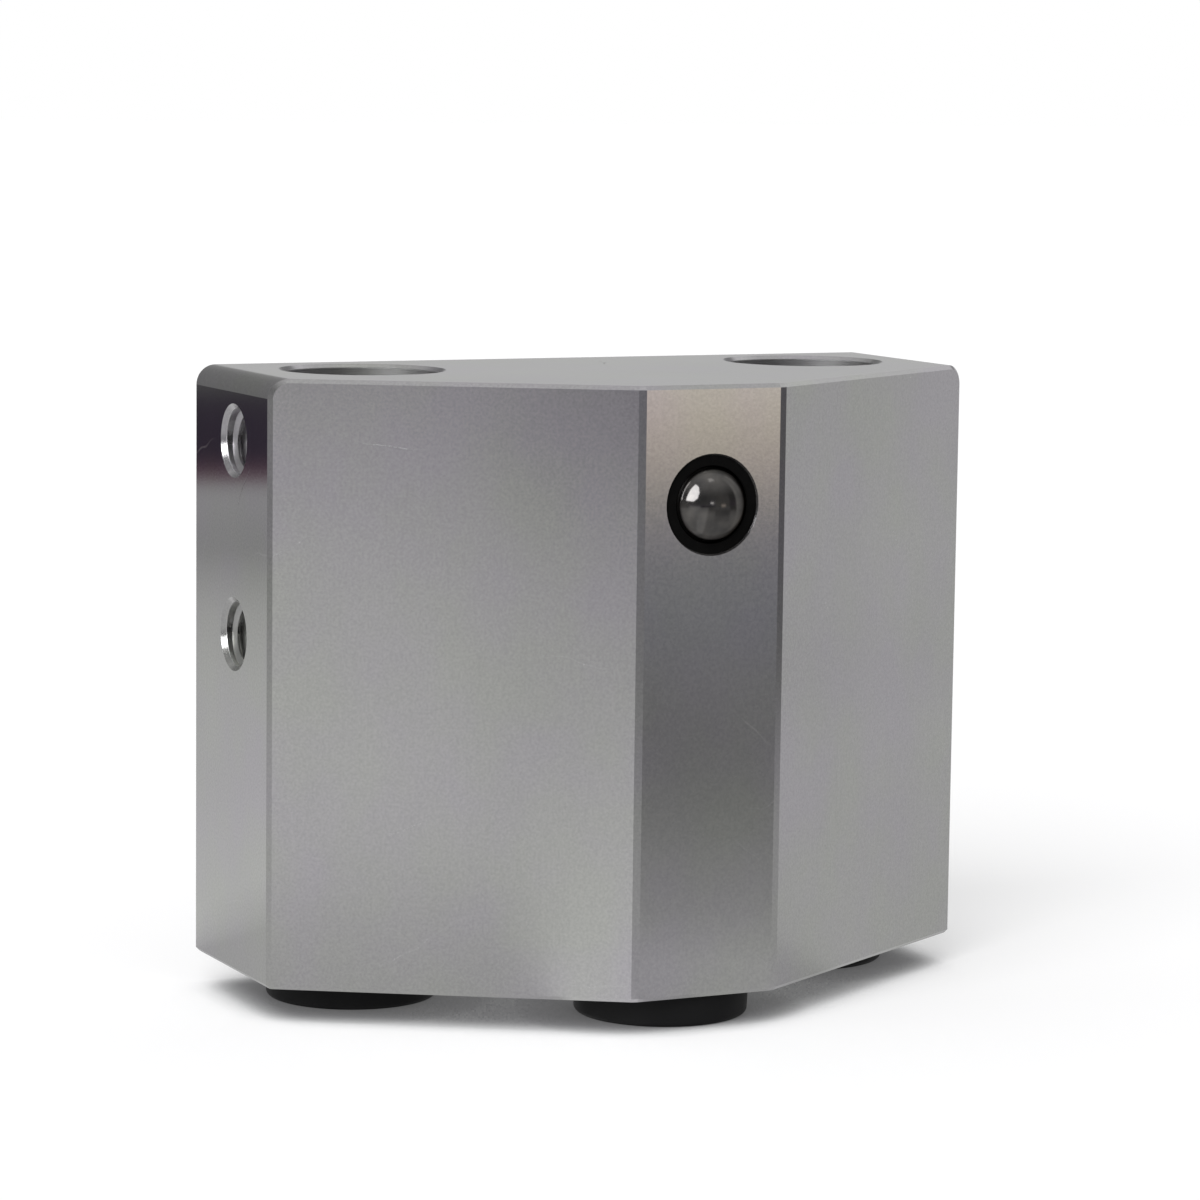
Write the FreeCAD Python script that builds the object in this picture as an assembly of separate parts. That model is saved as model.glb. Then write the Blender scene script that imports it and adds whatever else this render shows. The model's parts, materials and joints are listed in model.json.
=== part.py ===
import FreeCAD, Part
import math
import os

from FreeCAD import Vector

os.makedirs("parts", exist_ok=True)

# A machined aluminium rod block: six-sided in plan, with two rod bores in its top, clamp screw
# holes in its sides, a sprung ball in its nose and three rubber feet.
# Millimetres. +Z is up and the nose faces -Y. The origin is on the floor, under the middle of
# the whole part with its ball.

# Block
block_width = 96.0
block_depth = 50.0
block_height = 75.0
side_face_depth = 26.0       # the square stretch behind each slanted face
nose_width = 19.0
side_edge_radius = 2.5       # round along the top edge of each side face
edge_break = 0.5             # bevel on every other outer edge

# Rod bores, blind, from the top face
bore_diameter = 20.0
bore_depth = 50.0
bore_to_side = 17.0          # side face to bore axis
bore_to_back = 14.0          # back face to bore axis
bore_rim_break = 0.5

# Clamp screw holes, M8, from each side face into its bore
clamp_thread_diameter = 8.0
clamp_rim_break = 0.6
clamp_drop = 8.5             # top face to the upper hole's axis
clamp_pitch = 24.0           # upper axis to lower axis

# Ball plunger, pressed into the nose
plunger_drop = 14.5          # top face to the ball's axis
plunger_diameter = 12.0
plunger_length = 16.0
plunger_recess = 0.3         # nose face to the plunger's front
plunger_floor = 1.3          # thickness of the plunger's closed end
plunger_corner = 0.4         # bevel round the plunger's closed end
pocket_rim_break = 0.2
pocket_clearance = 0.01      # radial, between the pressed-in plunger and its pocket
ball_diameter = 10.0
ball_stand_out = 3.0         # ball's tip in front of the nose face
ball_clearance = 0.05        # radial, between ball and plunger
spring_wire = 0.9
spring_mean_diameter = 6.4
spring_turns = 5
spring_wire_sides = 8        # the hidden wire is drawn eight-sided, which keeps the coil light
spring_seat_gap = 0.03       # at both ends of the spring

# Feet, moulded rubber, each held by one button-head M3 screw and a washer
foot_diameter = 22.0
foot_height = 4.0
foot_draft = 0.2             # the foot's radius shrinks this much towards the floor
foot_edge_radius = 0.6
foot_to_front = 12.5         # nose face to the front foot's axis
foot_to_back = 14.0          # back face to the rear feet's axes
foot_to_side = 16.0          # side face to the rear feet's axes
foot_web = 1.1               # rubber left between the washer and the block
foot_recess_diameter = 9.5
foot_hole_diameter = 3.4
washer_diameter = 7.0
washer_hole_diameter = 3.2
washer_thickness = 0.5
screw_thread_diameter = 3.0
screw_length = 8.0
screw_head_diameter = 5.7
screw_head_height = 1.65
screw_head_face = 3.0        # diameter of the flat round the socket
screw_head_bulge = 0.25      # how far the head's side swells out of a straight cone
screw_point_break = 0.3      # bevel at the end of the thread
screw_socket_width = 2.0     # across the flats of the hexagon
screw_socket_depth = 1.0
hexagon_sides = 6
tapped_depth = 8.5
thread_clearance = 0.02      # radial, between the screw and its tapped hole
drill_point_angle = 118.0

# Cutting tools
flat_end_angle = 180.0       # the end of a bore milled flat
cutter_overrun = 1.0         # how far a cutter stands out of the face it enters
smooth_angle = 0.01          # radians; faces that meet at less than this have no edge to bevel

# Places that several pieces share
block_bottom = foot_height
block_top = block_bottom + block_height
middle_y = ball_stand_out / 2
nose_y = middle_y - block_depth / 2
back_y = middle_y + block_depth / 2
shoulder_y = back_y - side_face_depth
side_x = block_width / 2
bore_x = side_x - bore_to_side
bore_y = back_y - bore_to_back
clamp_heights = [block_top - clamp_drop, block_top - clamp_drop - clamp_pitch]
ball_radius = ball_diameter / 2
ball_centre = Vector(0, nose_y + ball_radius - ball_stand_out, block_top - plunger_drop)
plunger_front_y = nose_y + plunger_recess
plunger_back_y = plunger_front_y + plunger_length
washer_top = foot_height - foot_web
head_top = washer_top - washer_thickness
foot_places = {
    "front": Vector(0, nose_y + foot_to_front, 0),
    "rear_left": Vector(foot_to_side - side_x, back_y - foot_to_back, 0),
    "rear_right": Vector(side_x - foot_to_side, back_y - foot_to_back, 0),
}


def line(start, end):
    return Part.LineSegment(start, end).toShape()


def revolved(edges, axis):
    """Turn a closed profile about an axis through the origin."""
    return Part.Face(Part.Wire(edges)).revolve(Vector(), axis, 360)


def closed_lines(points):
    return [line(start, end) for start, end in zip(points, points[1:] + points[:1])]


def even_polygon(radius, sides):
    """A polygon in the XY plane about the origin."""
    turns = [math.radians(360.0 * k / sides) for k in range(sides)]
    points = [Vector(radius * math.cos(turn), radius * math.sin(turn), 0) for turn in turns]
    return Part.makePolygon(points + points[:1])


def hole_cutter(diameter, depth, rim_break, point_angle=flat_end_angle):
    """A drilled hole along -Z from a mouth at the origin, which its bevelled rim runs out of."""
    radius = diameter / 2
    point = radius / math.tan(math.radians(point_angle / 2))
    mouth = radius + rim_break + cutter_overrun
    profile = [Vector(0, 0, cutter_overrun), Vector(mouth, 0, cutter_overrun),
               Vector(radius, 0, -rim_break), Vector(radius, 0, -depth), Vector(0, 0, -depth - point)]
    return revolved(closed_lines(profile), Vector(0, 0, 1))


def placed(shape, mouth, outward):
    """Move a shape made about the origin so that its +Z points outward from the mouth."""
    turn = FreeCAD.Rotation(Vector(0, 0, 1), outward)
    moved = shape.copy()
    moved.Placement = FreeCAD.Placement(mouth, turn)
    return moved


def block_plan():
    """The six corners of the block's underside, from the rear left, seen from above."""
    return [Vector(-side_x, back_y, block_bottom), Vector(-side_x, shoulder_y, block_bottom),
            Vector(-nose_width / 2, nose_y, block_bottom), Vector(nose_width / 2, nose_y, block_bottom),
            Vector(side_x, shoulder_y, block_bottom), Vector(side_x, back_y, block_bottom)]


def rounded_front():
    """The block's front view with its two round top corners, run through its whole depth."""
    radius = side_edge_radius
    diagonal = radius * math.sqrt(0.5)
    edges = []
    corners = []
    for side in (-1, 1):
        centre = Vector(side * (side_x - radius), nose_y, block_top - radius)
        low = centre + Vector(side * radius, 0, 0)
        middle = centre + Vector(side * diagonal, 0, diagonal)
        high = centre + Vector(0, 0, radius)
        edges.append(Part.Arc(low, middle, high).toShape())
        corners.append((low, high))
    (left_low, left_high), (right_low, right_high) = corners
    left_foot = Vector(-side_x, nose_y, block_bottom)
    right_foot = Vector(side_x, nose_y, block_bottom)
    edges += [line(left_high, right_high), line(right_low, right_foot),
              line(right_foot, left_foot), line(left_foot, left_low)]
    return Part.Face(Part.Wire(Part.__sortEdges__(edges))).extrude(Vector(0, block_depth, 0))


def is_smooth(edge, shape):
    """True where the two faces beside an edge run into each other without a corner."""
    middle = edge.valueAt((edge.FirstParameter + edge.LastParameter) / 2)
    normals = []
    for face in shape.ancestorsOfType(edge, Part.Face):
        u, v = face.Surface.parameter(middle)
        normals.append(face.normalAt(u, v))
    return len(normals) == 2 and normals[0].getAngle(normals[1]) < smooth_angle


def block_body():
    """The solid bar with all its outer edges finished, before any hole."""
    outline = Part.makePolygon(block_plan() + block_plan()[:1])
    bar = Part.Face(outline).extrude(Vector(0, 0, block_height)).common(rounded_front())
    corners = [edge for edge in bar.Edges if not is_smooth(edge, bar)]
    return bar.makeChamfer(edge_break, corners)


def make_block():
    block = block_body()
    bore = hole_cutter(bore_diameter, bore_depth, bore_rim_break)
    clamp = hole_cutter(clamp_thread_diameter, bore_to_side, clamp_rim_break)
    pocket_diameter = plunger_diameter + 2 * pocket_clearance
    pocket = hole_cutter(pocket_diameter, plunger_recess + plunger_length, pocket_rim_break)
    tapped = hole_cutter(screw_thread_diameter, tapped_depth, 0.0, drill_point_angle)
    for side in (-1, 1):
        block = block.cut(placed(bore, Vector(side * bore_x, bore_y, block_top), Vector(0, 0, 1)))
        for height in clamp_heights:
            mouth = Vector(side * side_x, bore_y, height)
            block = block.cut(placed(clamp, mouth, Vector(side, 0, 0)))
    block = block.cut(placed(pocket, Vector(0, nose_y, ball_centre.z), Vector(0, -1, 0)))
    for place in foot_places.values():
        mouth = Vector(place.x, place.y, block_bottom)
        block = block.cut(placed(tapped, mouth, Vector(0, 0, -1)))
    return block


def make_plunger_body():
    """A cup with its mouth curled in over the ball, so that the ball can't come out."""
    outer = plunger_diameter / 2
    inner = ball_radius + ball_clearance
    reach = ball_centre.y - plunger_front_y
    lip = math.sqrt(inner ** 2 - reach ** 2)
    half_angle = math.asin(reach / inner) / 2
    on_seat = Vector(inner * math.cos(half_angle), ball_centre.y - inner * math.sin(half_angle), 0)
    seat_edge = Vector(inner, ball_centre.y, 0)
    lip_edge = Vector(lip, plunger_front_y, 0)
    floor_y = plunger_back_y - plunger_floor
    outline = [seat_edge, Vector(inner, floor_y, 0), Vector(0, floor_y, 0),
               Vector(0, plunger_back_y, 0), Vector(outer - plunger_corner, plunger_back_y, 0),
               Vector(outer, plunger_back_y - plunger_corner, 0), Vector(outer, plunger_front_y, 0),
               lip_edge]
    edges = [line(start, end) for start, end in zip(outline, outline[1:])]
    edges.append(Part.Arc(lip_edge, on_seat, seat_edge).toShape())
    body = revolved(edges, Vector(0, 1, 0))
    body.translate(Vector(0, 0, ball_centre.z))
    return body


def make_plunger_ball():
    return Part.makeSphere(ball_radius, ball_centre)


def make_plunger_spring():
    """A wire coil between the back of the ball and the plunger's closed end."""
    coil_radius = spring_mean_diameter / 2
    wire_radius = spring_wire / 2
    touch = ball_radius + wire_radius + spring_seat_gap
    start_y = ball_centre.y + math.sqrt(touch ** 2 - coil_radius ** 2)
    end_y = plunger_back_y - plunger_floor - wire_radius - spring_seat_gap
    length = end_y - start_y
    helix = Part.makeHelix(length / spring_turns, length, coil_radius)
    section = even_polygon(wire_radius, spring_wire_sides)
    section.rotate(Vector(), Vector(1, 0, 0), 90)
    section.translate(Vector(coil_radius, 0, 0))
    coil = Part.Wire(helix).makePipeShell([section], True, True)
    return placed(coil, Vector(0, start_y, ball_centre.z), Vector(0, 1, 0))


def make_foot():
    """A drafted rubber disc with a rounded lower edge and a recess for its screw, at the origin."""
    top = foot_diameter / 2
    bottom = top - foot_draft
    bend = foot_edge_radius
    slope = foot_draft / foot_height
    recess = foot_recess_diameter / 2
    hole = foot_hole_diameter / 2
    arc_centre = Vector(bottom + slope * bend - bend, 0, bend)
    side_end = arc_centre + Vector(bend, 0, 0)
    arc_middle = arc_centre + Vector(bend, 0, -bend) * math.sqrt(0.5)
    floor_edge = arc_centre - Vector(0, 0, bend)
    outline = [floor_edge, Vector(recess, 0, 0), Vector(recess, 0, washer_top),
               Vector(hole, 0, washer_top), Vector(hole, 0, foot_height),
               Vector(top, 0, foot_height), side_end]
    edges = [line(start, end) for start, end in zip(outline, outline[1:])]
    edges.append(Part.Arc(side_end, arc_middle, floor_edge).toShape())
    return revolved(edges, Vector(0, 0, 1))


def make_foot_washer():
    outer, inner = washer_diameter / 2, washer_hole_diameter / 2
    ring = [Vector(inner, 0, head_top), Vector(outer, 0, head_top),
            Vector(outer, 0, washer_top), Vector(inner, 0, washer_top)]
    return revolved(closed_lines(ring), Vector(0, 0, 1))


def make_foot_screw():
    """A button-head screw, head down, with a hexagon socket."""
    shank = screw_thread_diameter / 2 - thread_clearance
    head = Vector(screw_head_diameter / 2, 0, head_top)
    face = Vector(screw_head_face / 2, 0, head_top - screw_head_height)
    slope = head - face
    outward = Vector(slope.z, 0, -slope.x).normalize()
    dome_middle = (head + face) * 0.5 + outward * screw_head_bulge
    tip = head_top + screw_length
    outline = [face, Vector(0, 0, face.z), Vector(0, 0, tip), Vector(shank - screw_point_break, 0, tip),
               Vector(shank, 0, tip - screw_point_break), Vector(shank, 0, head_top), head]
    edges = [line(start, end) for start, end in zip(outline, outline[1:])]
    edges.append(Part.Arc(head, dome_middle, face).toShape())
    screw = revolved(edges, Vector(0, 0, 1))
    socket = Part.Face(even_polygon(screw_socket_width / math.sqrt(3), hexagon_sides))
    socket.translate(Vector(0, 0, face.z))
    return screw.cut(socket.extrude(Vector(0, 0, screw_socket_depth)))


def save(shape, node):
    solid = shape.Solids[0]
    if len(shape.Solids) != 1 or not solid.isValid():
        raise ValueError(node + " is not one sound solid")
    solid.exportStep("parts/" + node + ".step")
    print(node, "volume", round(solid.Volume, 1))


save(make_block(), "block")
save(make_plunger_body(), "plunger_body")
save(make_plunger_spring(), "plunger_spring")
save(make_plunger_ball(), "plunger_ball")
for corner_name, place in foot_places.items():
    for piece, make in (("foot", make_foot), ("foot_washer", make_foot_washer),
                        ("foot_screw", make_foot_screw)):
        shape = make()
        shape.translate(place)
        save(shape, piece + "_" + corner_name)
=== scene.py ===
"""The machined aluminium rod block in a plain studio: materials, threads, spring, floor and light."""

import json
import math

import bmesh
import bpy
from mathutils import Matrix, Vector


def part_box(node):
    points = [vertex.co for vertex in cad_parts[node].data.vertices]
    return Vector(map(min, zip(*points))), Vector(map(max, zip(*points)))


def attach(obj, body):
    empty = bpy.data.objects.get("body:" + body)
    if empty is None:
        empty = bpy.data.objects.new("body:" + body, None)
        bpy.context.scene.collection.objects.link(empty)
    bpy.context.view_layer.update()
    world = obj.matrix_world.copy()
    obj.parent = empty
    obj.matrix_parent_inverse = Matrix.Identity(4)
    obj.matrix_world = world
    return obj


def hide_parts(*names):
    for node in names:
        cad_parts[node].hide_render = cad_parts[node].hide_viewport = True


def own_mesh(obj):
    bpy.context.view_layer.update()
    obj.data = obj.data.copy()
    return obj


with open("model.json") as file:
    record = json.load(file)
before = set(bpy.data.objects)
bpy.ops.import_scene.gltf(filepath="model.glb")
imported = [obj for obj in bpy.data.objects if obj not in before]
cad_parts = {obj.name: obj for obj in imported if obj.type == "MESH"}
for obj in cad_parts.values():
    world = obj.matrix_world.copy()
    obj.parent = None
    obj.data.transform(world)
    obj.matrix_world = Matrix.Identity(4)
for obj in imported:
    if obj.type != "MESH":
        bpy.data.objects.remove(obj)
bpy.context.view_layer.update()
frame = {"nodes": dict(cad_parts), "record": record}

nodes = frame["nodes"]
mounts = {mount["name"]: mount for mount in frame["record"]["mounts"]}
mm = 0.001

# ---------------------------------------------------------------- camera

camera_place = Vector((-234.46, -487.89, 116.47)) * mm
camera_yaw = math.radians(25.306)       # to the right of +Y
camera_pitch = math.radians(6.983)      # downwards
camera_roll = math.radians(0.704)
camera_lens = 130.0
camera_sensor = 36.0


def make_camera():
    forward = Vector((
        math.sin(camera_yaw) * math.cos(camera_pitch),
        math.cos(camera_yaw) * math.cos(camera_pitch),
        -math.sin(camera_pitch),
    ))
    level = Vector((math.cos(camera_yaw), -math.sin(camera_yaw), 0))
    above = level.cross(forward)
    across = level * math.cos(camera_roll) + above * math.sin(camera_roll)
    upwards = above * math.cos(camera_roll) - level * math.sin(camera_roll)
    data = bpy.data.cameras.new("camera")
    data.lens = camera_lens
    data.sensor_width = camera_sensor
    data.clip_start = 0.01
    data.clip_end = 50
    camera = bpy.data.objects.new("camera", data)
    turn = Matrix((across, upwards, -forward)).transposed()
    camera.matrix_world = Matrix.Translation(camera_place) @ turn.to_4x4()
    bpy.context.scene.collection.objects.link(camera)
    bpy.context.scene.camera = camera


# ---------------------------------------------------------------- shader nodes

def new_tree(name):
    material = bpy.data.materials.new(name)
    material.use_nodes = True
    material.node_tree.nodes.clear()
    return material, material.node_tree


def set_input(tree, socket, value):
    """The value is a number, a colour or another node's output."""
    if isinstance(value, bpy.types.NodeSocket):
        tree.links.new(value, socket)
    else:
        socket.default_value = value


def add(tree, kind, inputs=None, **settings):
    node = tree.nodes.new(kind)
    for key, value in settings.items():
        setattr(node, key, value)
    for name, value in (inputs or {}).items():
        set_input(tree, node.inputs[name], value)
    return node


def calc(tree, operation, first, second=0.0, third=0.0, clamp=False):
    inputs = {0: first, 1: second, 2: third}
    return add(tree, "ShaderNodeMath", inputs, operation=operation, use_clamp=clamp).outputs[0]


def times(tree, first, second):
    return calc(tree, "MULTIPLY", first, second)


def times_plus(tree, first, second, third):
    return calc(tree, "MULTIPLY_ADD", first, second, third)


def either(tree, shares):
    """The shares added together, but never above 1."""
    total = 0.0
    for share in shares:
        total = calc(tree, "ADD", total, share, clamp=True)
    return total


def remap(tree, value, low, high, out_low=0.0, out_high=1.0):
    inputs = {"Value": value, "From Min": low, "From Max": high, "To Min": out_low, "To Max": out_high}
    return add(tree, "ShaderNodeMapRange", inputs).outputs["Result"]


def mix_colour(tree, factor, first, second):
    node = add(tree, "ShaderNodeMix", data_type="RGBA")
    for name, kind, value in (("Factor", "VALUE", factor), ("A", "RGBA", first), ("B", "RGBA", second)):
        socket = next(s for s in node.inputs if s.name == name and s.type == kind)
        set_input(tree, socket, value)
    return next(s for s in node.outputs if s.type == "RGBA")


def object_place(tree):
    return add(tree, "ShaderNodeTexCoord").outputs["Object"]


def noise(tree, place, stretch, scale, detail):
    scaled = add(tree, "ShaderNodeMapping", {"Vector": place, "Scale": stretch}).outputs["Vector"]
    inputs = {"Vector": scaled, "Scale": scale, "Detail": detail, "Roughness": 0.5}
    return add(tree, "ShaderNodeTexNoise", inputs).outputs["Fac"]


def shade(tree, inputs):
    surface = add(tree, "ShaderNodeBsdfPrincipled", inputs)
    add(tree, "ShaderNodeOutputMaterial", {"Surface": surface.outputs["BSDF"]})


def bump(tree, height, distance):
    inputs = {"Height": height, "Distance": distance, "Strength": 1.0}
    return add(tree, "ShaderNodeBump", inputs).outputs["Normal"]


# ---------------------------------------------------------------- where a point lies on the block

block_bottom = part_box("block")[0][2]
bottom_spare = 1 * mm                   # the underside within the bores' radius is no bore wall
even = (1, 1, 1)                        # a pattern that isn't stretched
slant_x, slant_y = 0.529, 0.849         # the way a slanted face looks, seen from above
side_ways = ((-1, 0, 0), (1, 0, 0))
slant_ways = ((-slant_x, -slant_y, 0), (slant_x, -slant_y, 0))
nose_ways = ((0, -1, 0),)
top_ways = ((0, 0, 1),)
rest_ways = ((0, 1, 0), (0, 0, 1), (0, 0, -1))
facing_low, facing_high = 0.985, 0.995  # cosines between which a surface begins to count as facing a way
wall_spare = 0.06 * mm                  # how far a hole's wall may lie from its stated radius


def facing(tree, ways):
    """1 where the surface faces one of these ways, 0 elsewhere."""
    normal = add(tree, "ShaderNodeNewGeometry").outputs["True Normal"]
    shares = []
    for way in ways:
        dot = add(tree, "ShaderNodeVectorMath", {0: normal, 1: way}, operation="DOT_PRODUCT")
        shares.append(remap(tree, dot.outputs["Value"], facing_low, facing_high))
    return either(tree, shares)


def axis_distance(tree, place, centre, axis):
    """How far a point is from an axis along X, Y or Z."""
    offset = add(tree, "ShaderNodeVectorMath", {0: place, 1: tuple(centre)}, operation="SUBTRACT")
    across = tuple(1 - abs(part) for part in axis)
    flat = add(tree, "ShaderNodeVectorMath", {0: offset.outputs["Vector"], 1: across}, operation="MULTIPLY")
    return add(tree, "ShaderNodeVectorMath", {0: flat.outputs["Vector"]}, operation="LENGTH").outputs["Value"]


def inside_mounts(tree, place, word):
    """1 on the walls of the holes whose mounts have this word in their names."""
    shares = []
    for name, mount in mounts.items():
        if word in name:
            distance = axis_distance(tree, place, mount["pos_m"], mount["axis"])
            shares.append(calc(tree, "LESS_THAN", distance, mount["dims"]["r_mm"] * mm + wall_spare))
    return either(tree, shares)


# ---------------------------------------------------------------- materials

scratch_ways = ((1.2, 0.0), (-0.9, 0.37))   # each layer's turn in the face, in radians, and its shift
scratch_stretch = (200, 6.4, 1)
scratch_width = (0.026, 0.008)              # from a cell's middle, where a line begins and where it is full
scratch_bend = 12 * mm


def scratches(tree, place, bend):
    """A few short faint lines in the plane of each face: cells stretched until only slivers show."""
    parts = add(tree, "ShaderNodeSeparateXYZ", {0: place}).outputs
    along = times_plus(tree, parts["Y"], 0.7, parts["X"])
    up = times_plus(tree, parts["Y"], 0.6, parts["Z"])
    up = times_plus(tree, bend, scratch_bend, up)
    flat = add(tree, "ShaderNodeCombineXYZ", {"X": along, "Y": up}).outputs["Vector"]
    shares = []
    for turn, shift in scratch_ways:
        inputs = {"Vector": flat, "Location": (shift, shift, 0), "Rotation": (0, 0, turn)}
        turned = add(tree, "ShaderNodeMapping", inputs).outputs["Vector"]
        drawn = add(tree, "ShaderNodeMapping", {"Vector": turned, "Scale": scratch_stretch}).outputs["Vector"]
        inputs = {"Vector": drawn, "Scale": 1.0}
        cells = add(tree, "ShaderNodeTexVoronoi", inputs, feature="F1", voronoi_dimensions="2D")
        shares.append(remap(tree, cells.outputs["Distance"], *scratch_width))
    return either(tree, shares)


bore_ring_pitch = 0.3 * mm              # between the boring tool's marks
base_roughness = 0.16
relief = 0.0012 * mm                    # height of the aluminium's bump


def aluminium():
    material, tree = new_tree("machined aluminium")
    place = object_place(tree)
    height_here = add(tree, "ShaderNodeSeparateXYZ", {0: place}).outputs["Z"]

    lines = noise(tree, place, (1, 1, 0.05), 3200, 3)
    grain = noise(tree, place, even, 3000, 2)
    speckle = noise(tree, place, even, 900, 3)
    cloud = noise(tree, place, (1, 1, 0.6), 55, 3)
    tint = noise(tree, place, (1, 1, 0.8), 75, 3)

    side = facing(tree, side_ways)
    slants = facing(tree, slant_ways)
    nose = facing(tree, nose_ways)
    top = facing(tree, top_ways)
    flat = either(tree, (side, slants, nose, facing(tree, rest_ways)))
    edges = calc(tree, "SUBTRACT", 1.0, flat)
    marks = times(tree, scratches(tree, place, cloud), flat)
    above_floor = calc(tree, "GREATER_THAN", height_here, block_bottom + bottom_spare)
    bores = times(tree, inside_mounts(tree, place, "rod_bore"), above_floor)
    clamps = inside_mounts(tree, place, "clamp_hole")

    rough = base_roughness
    for share, weight in (
        (side, -0.12), (nose, -0.09), (top, -0.03), (cloud, 0.03), (grain, 0.03), (marks, 0.08),
        (bores, 0.38), (clamps, 0.12),
    ):
        rough = times_plus(tree, share, weight, rough)

    height = times_plus(tree, lines, times_plus(tree, slants, -0.55, 1.0), grain)
    height = times_plus(tree, speckle, 0.5, height)
    height = times(tree, height, times_plus(tree, side, -0.55, 1.0))
    height = times_plus(tree, marks, -0.8, height)
    height = times_plus(tree, times(tree, speckle, edges), 1.4, height)
    rings = calc(tree, "SINE", times(tree, height_here, 2 * math.pi / bore_ring_pitch))
    height = times_plus(tree, times(tree, rings, bores), 2.2, height)

    mottle = times_plus(tree, lines, 0.10, times_plus(tree, grain, 0.65, times(tree, cloud, 0.25)))
    mottle = remap(tree, mottle, 0.36, 0.64)
    grey = mix_colour(tree, mottle, (0.486, 0.486, 0.494, 1), (0.636, 0.633, 0.630, 1))
    tint = remap(tree, tint, 0.35, 0.65)
    tinted = mix_colour(tree, tint, (0.566, 0.538, 0.588, 1), (0.566, 0.580, 0.530, 1))
    colour = mix_colour(tree, 0.5, grey, tinted)
    colour = mix_colour(tree, times(tree, marks, 0.22), colour, (0.72, 0.72, 0.72, 1))
    # Painted shade: the rod bores' walls are darkened most of the way to a dark grey, so the bores read
    # darker inside.
    colour = mix_colour(tree, times(tree, bores, 0.7), colour, (0.25, 0.25, 0.25, 1))
    shade(tree, {
        "Base Color": colour,
        "Metallic": 1.0,
        "Roughness": rough,
        "Normal": bump(tree, height, relief),
    })
    return material


def black_steel():
    material, tree = new_tree("blackened steel")
    mottle = noise(tree, object_place(tree), even, 900, 4)
    shade(tree, {
        "Base Color": mix_colour(tree, mottle, (0.002, 0.002, 0.0022, 1), (0.005, 0.0048, 0.0045, 1)),
        "Metallic": 0.0,
        "Specular IOR Level": 0.05,
        "Roughness": remap(tree, mottle, 0.3, 0.7, 0.38, 0.55),
        "Normal": bump(tree, mottle, 0.003 * mm),
    })
    return material


def steel(name, dark, light, roughness, scale, distance, edge_tint=1.0):
    material, tree = new_tree(name)
    mottle = noise(tree, object_place(tree), even, scale, 4)
    shade(tree, {
        "Base Color": mix_colour(tree, remap(tree, mottle, 0.3, 0.7), dark, light),
        "Metallic": 1.0,
        "Specular Tint": (edge_tint, edge_tint, edge_tint, 1),
        "Roughness": remap(tree, mottle, 0.3, 0.7, *roughness),
        "Normal": bump(tree, mottle, distance),
    })
    return material


def spring_steel():
    dark, light = (0.30, 0.29, 0.28, 1), (0.42, 0.41, 0.40, 1)
    return steel("spring steel", dark, light, (0.25, 0.4), 1500, 0.002 * mm)


def ball_steel():
    dark, light = (0.10, 0.098, 0.098, 1), (0.19, 0.18, 0.17, 1)
    return steel("polished ball steel", dark, light, (0.09, 0.16), 420, 0.001 * mm, edge_tint=0.15)


def fastener_steel():
    dark, light = (0.52, 0.53, 0.55, 1), (0.66, 0.66, 0.65, 1)
    return steel("zinc plated steel", dark, light, (0.22, 0.4), 1200, 0.002 * mm)


def rubber():
    material, tree = new_tree("moulded rubber")
    place = object_place(tree)
    pores = noise(tree, place, even, 2200, 3)
    bloom = noise(tree, place, even, 160, 3)
    shade(tree, {
        "Base Color": mix_colour(tree, bloom, (0.004, 0.004, 0.0045, 1), (0.010, 0.010, 0.0105, 1)),
        "Specular IOR Level": 0.2,
        "Roughness": remap(tree, bloom, 0.3, 0.7, 0.6, 0.75),
        "Normal": bump(tree, pores, 0.01 * mm),
    })
    return material


looks = {
    "block_aluminium": aluminium(),
    "blackened_steel": black_steel(),
    "spring_steel": spring_steel(),
    "ball_steel": ball_steel(),
    "foot_rubber": rubber(),
    "fastener_steel": fastener_steel(),
}


def dress():
    """Each CAD node gets the look of its slot in the record."""
    slots = {}
    for entry in frame["record"]["materials"]:
        for name in entry.get("nodes", []):
            slots[name] = entry["slot"]
    for name, node in nodes.items():
        for slot in node.material_slots:
            known = slot.material.name.split(".")[0]
            slot.material = looks.get(known) or looks[slots[name]]


# ---------------------------------------------------------------- spring

def make_spring():
    """The plunger's spring: a copy of the CAD coil in spring steel, attached to the base."""
    coil = nodes["plunger_spring"]
    wound = bpy.data.objects.new("spring_wound", coil.data.copy())
    wound.matrix_world = coil.matrix_world.copy()
    wound.data.materials.clear()
    wound.data.materials.append(looks["spring_steel"])
    bpy.context.scene.collection.objects.link(wound)
    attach(wound, "base")
    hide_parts("plunger_spring")
    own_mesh(wound)


# ---------------------------------------------------------------- threads

thread_pitch = 1.25 * mm
thread_height = 0.68 * mm
thread_root = 0.02 * mm          # how far the ridge's foot is sunk into the wall
thread_base = 0.44               # half widths along the axis, as shares of the pitch
thread_crest = 0.09
thread_margin = 0.35 * mm        # first and last turn's middle to the ends of the hole
thread_steps = 48                # round one turn
thread_runout = 12               # steps over which the ridge grows from nothing
thread_least = 0.04              # share of the ridge's height that it starts with
sharp_angle = math.radians(35)


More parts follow.
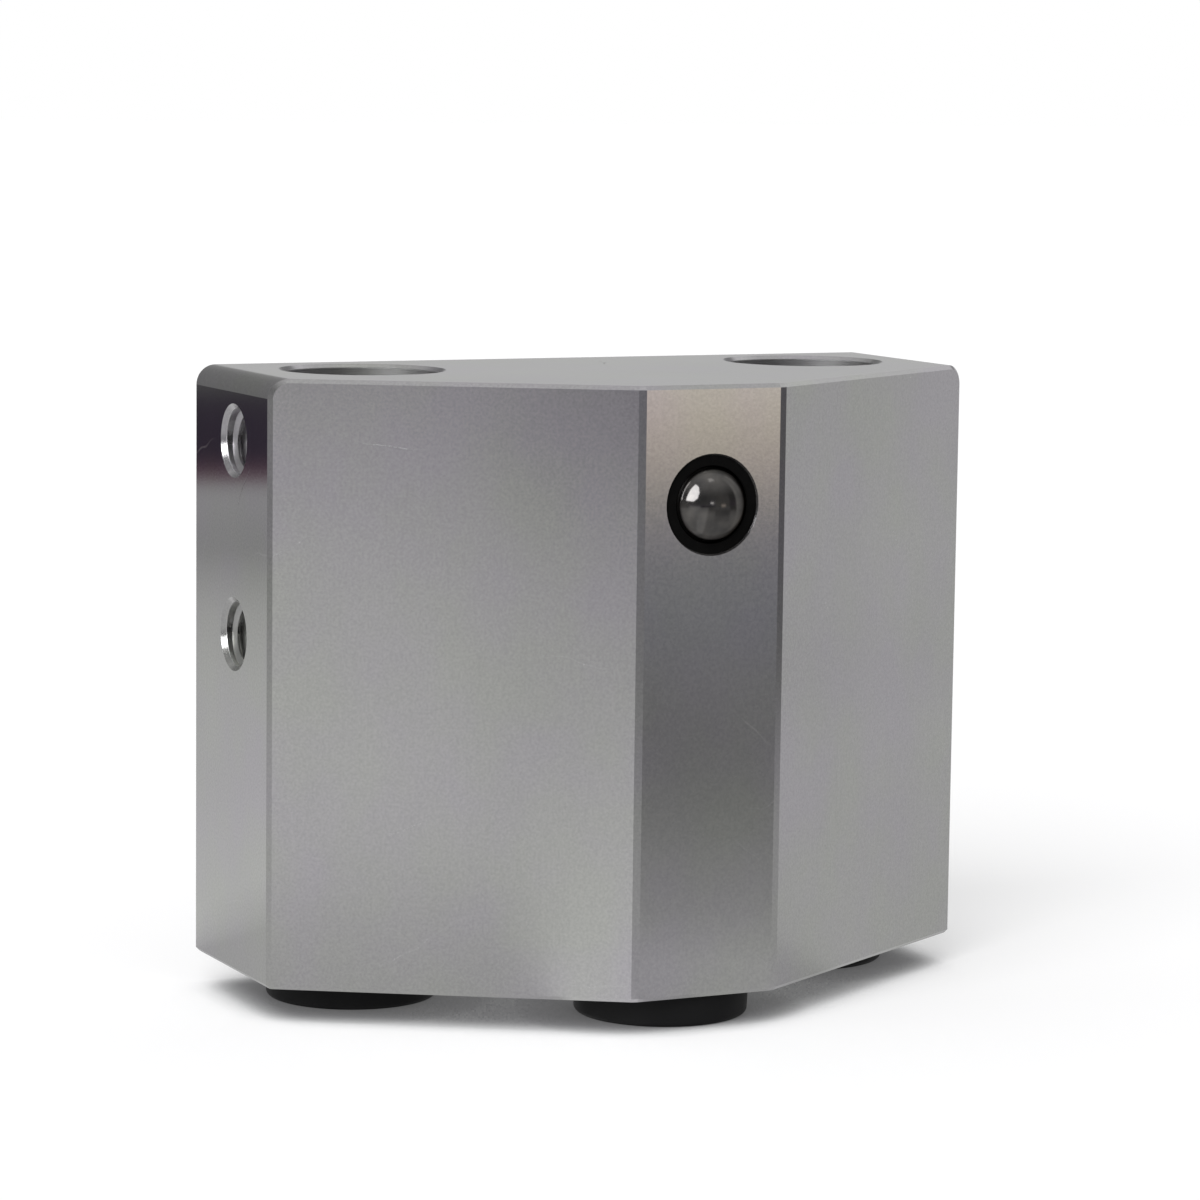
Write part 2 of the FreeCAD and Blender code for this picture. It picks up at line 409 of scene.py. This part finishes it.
def make_thread(name, mount):
    """The ridge of a clamp hole's thread, a right-hand screw from the mouth inwards."""
    outward = Vector(mount["axis"])
    radius = mount["dims"]["r_mm"] * mm
    length = mount["dims"]["length_mm"] * mm
    mouth = Vector(mount["pos_m"]) + outward * length / 2
    above = Vector((0, 0, 1))
    beside = above.cross(outward)
    count = int((length - 2 * thread_margin) / thread_pitch * thread_steps)
    foot = radius + thread_root
    mesh = bmesh.new()
    sections = []
    for step in range(count + 1):
        angle = 2 * math.pi * step / thread_steps
        spoke = above * math.cos(angle) + beside * math.sin(angle)
        depth = thread_margin + thread_pitch * step / thread_steps
        grown = max(thread_least, min(1.0, step / thread_runout, (count - step) / thread_runout))
        crest = foot - (thread_height + thread_root) * grown
        corners = ((-thread_base, foot), (-thread_crest, crest), (thread_crest, crest), (thread_base, foot))
        section = []
        for half_width, reach in corners:
            point = mouth - outward * (depth + half_width * thread_pitch) + spoke * reach
            section.append(mesh.verts.new(point))
        sections.append(section)
    for first, second in zip(sections, sections[1:]):
        for k in range(4):
            after = (k + 1) % 4
            mesh.faces.new((first[k], first[after], second[after], second[k]))
    mesh.faces.new(sections[0])
    mesh.faces.new(sections[-1])
    bmesh.ops.recalc_face_normals(mesh, faces=mesh.faces)
    data = bpy.data.meshes.new(name)
    mesh.to_mesh(data)
    mesh.free()
    data.polygons.foreach_set("use_smooth", [True] * len(data.polygons))
    data.set_sharp_from_angle(angle=sharp_angle)
    data.materials.append(looks["block_aluminium"])
    piece = bpy.data.objects.new(name, data)
    bpy.context.scene.collection.objects.link(piece)
    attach(piece, "base")


def make_threads():
    for name, mount in mounts.items():
        if mount["kind"] == "threaded_hole":
            make_thread(name.replace("clamp_hole", "clamp_thread"), mount)


# ---------------------------------------------------------------- floor

floor_half = 8.0
floor_grey = (0.63, 0.63, 0.635, 1)
# Colour of the floor's painted contact shadow, which the floor turns towards where the part is near.
painted_floor_shadow = (0, 0, 0.01, 1)
floor_lift = 0.38                # added where it is seen, so that the open floor comes out white
contact_reach = 8 * mm           # how near the part's painted contact shadow reaches on the floor


def ray_share(tree):
    """1 for rays that come from the camera, or from it by way of a mirror or glass."""
    path = add(tree, "ShaderNodeLightPath")
    seen = calc(tree, "MAXIMUM", path.outputs["Is Camera Ray"], path.outputs["Is Glossy Ray"])
    return calc(tree, "MAXIMUM", seen, path.outputs["Is Transmission Ray"])


def link_stage(name, vertices, faces, material):
    data = bpy.data.meshes.new(name)
    data.from_pydata([tuple(v) for v in vertices], [], faces)
    data.materials.append(material)
    obj = bpy.data.objects.new(name, data)
    bpy.context.scene.collection.objects.link(obj)
    return obj


def make_floor():
    material, tree = new_tree("white floor")
    # Painted contact shadow: ambient occlusion darkens the floor's colour and fades its lift where the part
    # is near.
    near = add(tree, "ShaderNodeAmbientOcclusion", {"Distance": contact_reach}, samples=8).outputs["AO"]
    openness = remap(tree, near, 0.25, 0.7, 0.22, 1.0)
    colour = mix_colour(tree, openness, painted_floor_shadow, floor_grey)
    diffuse = add(tree, "ShaderNodeBsdfDiffuse", {"Color": colour})
    strength = times(tree, times(tree, ray_share(tree), openness), floor_lift)
    lift = add(tree, "ShaderNodeEmission", {"Color": (1, 1, 1, 1), "Strength": strength})
    both = add(tree, "ShaderNodeAddShader", {0: diffuse.outputs[0], 1: lift.outputs[0]})
    add(tree, "ShaderNodeOutputMaterial", {"Surface": both.outputs[0]})
    half = floor_half
    corners = [(-half, -half, 0), (half, -half, 0), (half, half, 0), (-half, half, 0)]
    link_stage("floor", corners, [(0, 1, 2, 3)], material)


# ---------------------------------------------------------------- cards

# The cards round the part that only show in its metal, as in a small studio. Each list has the tones of the
# sheets on the table by distance in metres, then those of the cards behind them by elevation in degrees.
cards_back_left = (
    (
        (0.05, 1.0), (0.09, 0.66), (0.20, 0.585), (0.32, 0.555), (0.42, 0.49), (0.54, 0.325), (0.60, 0.34),
        (0.675, 0.375), (0.698, 0.33), (0.718, (0.20, 0.15, 0.165)), (0.745, (0.080, 0.038, 0.058)),
        (0.79, (0.034, 0.026, 0.040)), (1.0, (0.042, 0.035, 0.048)), (1.1, 0.09), (1.2, 0.17),
    ),
    ((0, 0.19), (25, 0.21), (45, 0.5), (70, 0.6)),
)
cards_back = (
    ((0.1, 0.5), (2.0, 0.55)),
    ((0, 0.56), (9, 0.56), (14, 0.26), (30, 0.22), (45, 0.5), (70, 0.6)),
)
cards_far_right = (
    (
        (0.1, 0.51), (0.21, 0.53), (0.27, 0.57), (0.32, 0.53), (0.38, 0.525), (0.45, 0.545), (0.72, 0.54),
        (2.0, 0.50),
    ),
    ((0, 0.5), (12, 0.5), (22, 0.75), (42, 0.75), (55, 0.6), (70, 0.6)),
)
cards_right = (
    (
        (0.1, 0.52), (0.24, 0.53), (0.30, 0.47), (0.36, 0.47), (0.48, 0.51), (0.6, 0.49), (0.75, 0.445),
        (0.95, 0.455), (2.0, 0.41),
    ),
    ((0, 0.5), (12, 0.46), (20, 0.55), (45, 0.6), (70, 0.6)),
)
cards_dark_right = (
    ((0.15, 0.42), (0.24, 0.30), (0.36, 0.12), (2.0, (0.10, 0.09, 0.11))),
    ((0, (0.10, 0.09, 0.11)), (20, 0.10), (45, 0.4), (70, 0.6)),
)
table_before_nose = (
    (0.06, 0.46), (0.10, 0.345), (0.13, 0.31), (0.16, 0.265), (0.20, 0.23), (0.26, 0.205), (0.31, 0.22),
    (0.42, (0.23, 0.235, 0.25)), (0.60, (0.245, 0.25, 0.265)),
)
cards_nose = (
    table_before_nose + (
        (0.66, (0.30, 0.29, 0.28)), (0.76, (0.56, 0.49, 0.43)), (0.90, (0.66, 0.58, 0.50)),
        (1.0, (0.72, 0.64, 0.56)), (1.12, (0.85, 0.78, 0.70)), (2.0, (0.95, 0.88, 0.82)),
    ),
    ((0, (0.95, 0.88, 0.82)), (2, (0.7, 0.62, 0.56)), (5, 0.2), (25, 0.18), (45, 0.4), (70, 0.6)),
)
cards_beside_nose = (
    table_before_nose + ((0.66, 0.22), (2.0, 0.20)),
    ((0, 0.2), (25, 0.18), (45, 0.4), (70, 0.6)),
)
cards_front = (
    ((0.15, 0.42), (0.22, 0.33), (0.30, 0.24), (0.6, 0.22), (0.8, 0.13), (2.0, (0.11, 0.11, 0.14))),
    ((0, (0.16, 0.16, 0.19)), (25, 0.20), (45, 0.35), (70, 0.6)),
)
uprights_left = ((0, (0.26, 0.25, 0.27)), (8, 0.20), (25, 0.20), (45, 0.4), (70, 0.6))
cards_front_left = (
    (
        (0.07, 0.69), (0.14, 0.655), (0.19, 0.62), (0.255, 0.585), (0.30, 0.53), (0.42, 0.49), (0.49, 0.435),
        (0.57, 0.36), (0.67, (0.26, 0.25, 0.27)), (0.86, (0.15, 0.14, 0.16)), (1.06, (0.13, 0.12, 0.14)),
        (2.0, (0.12, 0.11, 0.13)),
    ),
    uprights_left,
)
cards_mid_left = (
    (
        (0.07, 0.72), (0.12, 0.61), (0.19, 0.57), (0.255, 0.59), (0.285, 0.55), (0.302, 0.475), (0.325, 0.57),
        (0.42, 0.605), (0.49, 0.60), (0.57, 0.565), (0.67, (0.505, 0.50, 0.515)), (0.86, (0.43, 0.42, 0.44)),
        (2.0, (0.40, 0.39, 0.41)),
    ),
    uprights_left,
)
cards_further_left = (
    (
        (0.07, 0.50), (0.10, 0.54), (0.14, 0.62), (0.255, 0.66), (0.285, 0.63), (0.302, 0.60), (0.33, 0.64),
        (0.42, 0.645), (0.57, 0.605), (0.67, 0.575), (0.76, (0.49, 0.48, 0.50)), (1.06, (0.44, 0.43, 0.45)),
        (2.0, (0.42, 0.41, 0.43)),
    ),
    uprights_left,
)
cards_left = (
    ((0.2, 0.5), (0.36, 0.45), (0.5, 0.26), (2.0, 0.24)),
    ((0, 0.24), (25, 0.16), (50, 0.4), (70, 0.6)),
)
# Azimuths in degrees, clockwise from +Y seen from above. The ring closes where it began.
card_ring = (
    (-42, cards_back_left), (2, cards_back_left), (10, cards_back), (56, cards_back),
    (62, cards_far_right), (89, cards_far_right), (91.5, cards_right), (108, cards_right),
    (114, cards_dark_right), (132, cards_dark_right), (138, cards_beside_nose), (147, cards_beside_nose),
    (149, cards_nose), (160, cards_nose), (162, cards_beside_nose), (176, cards_beside_nose),
    (180, cards_front), (194, cards_front), (200, cards_front_left), (217.5, cards_front_left),
    (220.8, cards_mid_left), (224.5, cards_further_left), (246, cards_further_left),
    (254, cards_left), (308, cards_left), (318, cards_back_left),
)
card_turns = 180                 # cells round the ring
card_reach = 2.0                 # radius of the upright cards
card_lift = 0.2 * mm             # of the sheets above the floor
table_steps = [0.0, 0.05] + [0.02 * i for i in range(3, 60)] + [1.2 + 0.1 * i for i in range(0, 9)]
upright_steps = [1.5 * i for i in range(0, 60)] + [90]


def as_colour(tone):
    return Vector((tone, tone, tone)) if isinstance(tone, (int, float)) else Vector(tone)


def tone_at(stops, value):
    if value <= stops[0][0]:
        return as_colour(stops[0][1])
    for (low, first), (high, second) in zip(stops, stops[1:]):
        if value <= high:
            return as_colour(first).lerp(as_colour(second), (value - low) / (high - low))
    return as_colour(stops[-1][1])


def ring_tone(azimuth, part, value):
    for (low, first), (high, second) in zip(card_ring, card_ring[1:]):
        if low <= azimuth <= high:
            share = (azimuth - low) / (high - low)
            return tone_at(first[part], value).lerp(tone_at(second[part], value), share)


def show_in_metal_only(obj):
    for seen_by in ("visible_camera", "visible_diffuse", "visible_shadow", "visible_transmission"):
        setattr(obj, seen_by, False)


def on_table(azimuth, distance):
    return (distance * math.sin(azimuth), distance * math.cos(azimuth), card_lift)


def on_dome(azimuth, elevation):
    angle = math.radians(elevation)
    flat = card_reach * math.cos(angle)
    return (flat * math.sin(azimuth), flat * math.cos(azimuth), card_reach * math.sin(angle))


def make_cards(name, part, steps, place):
    """A grid round the part, coloured point by point. place gives a point from an azimuth and a step."""
    material, tree = new_tree(name)
    tone = add(tree, "ShaderNodeVertexColor", layer_name="tone")
    glow = add(tree, "ShaderNodeEmission", {"Color": tone.outputs["Color"], "Strength": 1.0})
    add(tree, "ShaderNodeOutputMaterial", {"Surface": glow.outputs[0]})
    vertices, tones, faces = [], [], []
    for i in range(card_turns):
        azimuth = card_ring[0][0] + 360.0 * i / card_turns
        for step in steps:
            vertices.append(place(math.radians(azimuth), step))
            tones.append(ring_tone(azimuth, part, step))
    rows = len(steps)
    for i in range(card_turns):
        first, second = i * rows, (i + 1) % card_turns * rows
        for j in range(rows - 1):
            faces.append((first + j, first + j + 1, second + j + 1, second + j))
    obj = link_stage(name, vertices, faces, material)
    layer = obj.data.color_attributes.new("tone", "FLOAT_COLOR", "POINT")
    for point, colour in zip(layer.data, tones):
        point.color = (*colour, 1)
    show_in_metal_only(obj)


# ---------------------------------------------------------------- light

ball_low, ball_high = (Vector(corner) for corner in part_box("plunger_ball"))
ball_centre = (ball_low + ball_high) / 2
lit_share = 0.9                  # of card_reach, so that a lit card hangs in front of the others
# Strengths, then outlines as azimuths and elevations in degrees, as the ball sees them.
lit_cards = {
    "window": (6.5, ((263, 9), (262, 20), (258, 44), (252, 55), (234, 50), (226, 33), (229, 18), (240, 9))),
    "front_light": (1.9, ((192, 3), (183, 3), (183, 9), (192, 9))),
    "ceiling_patch": (1.4, ((150, 66), (185, 66), (185, 76), (150, 76))),
}
sun_energy = 2.1
sun_width = math.radians(45)
sun_way = Vector((0.55, 0.50, -0.6))
world_light = 0.62               # on the part and the floor
world_seen = 1.0                 # by the camera, and in mirrors


def make_lit_card(name, strength, outline):
    material, tree = new_tree(name)
    glow = add(tree, "ShaderNodeEmission", {"Color": (1, 1, 1, 1), "Strength": strength})
    add(tree, "ShaderNodeOutputMaterial", {"Surface": glow.outputs[0]})
    vertices = []
    for azimuth, elevation in outline:
        vertices.append(ball_centre + Vector(on_dome(math.radians(azimuth), elevation)) * lit_share)
    obj = link_stage(name, vertices, [tuple(range(len(outline)))], material)
    show_in_metal_only(obj)


def make_lamp():
    data = bpy.data.lights.new("key", "SUN")
    data.energy = sun_energy
    data.angle = sun_width
    obj = bpy.data.objects.new("key", data)
    obj.rotation_euler = sun_way.to_track_quat("-Z", "Y").to_euler()
    obj.visible_glossy = False
    bpy.context.scene.collection.objects.link(obj)


def make_world():
    world = bpy.data.worlds.new("studio")
    world.use_nodes = True
    tree = world.node_tree
    tree.nodes.clear()
    plain = add(tree, "ShaderNodeBackground", {"Color": (1, 1, 1, 1), "Strength": world_light})
    white = add(tree, "ShaderNodeBackground", {"Color": (1, 1, 1, 1), "Strength": world_seen})
    mix = add(tree, "ShaderNodeMixShader", {0: ray_share(tree), 1: plain.outputs[0], 2: white.outputs[0]})
    add(tree, "ShaderNodeOutputWorld", {"Surface": mix.outputs[0]})
    bpy.context.scene.world = world


def make_studio():
    make_floor()
    make_world()
    make_lamp()
    for name, (strength, outline) in lit_cards.items():
        make_lit_card(name, strength, outline)
    make_cards("table_cards", 0, table_steps, on_table)
    make_cards("upright_cards", 1, upright_steps, on_dome)


make_camera()
dress()
make_spring()
make_threads()
make_studio()

bpy.context.scene.view_settings.view_transform = "Standard"
bpy.context.view_layer.update()
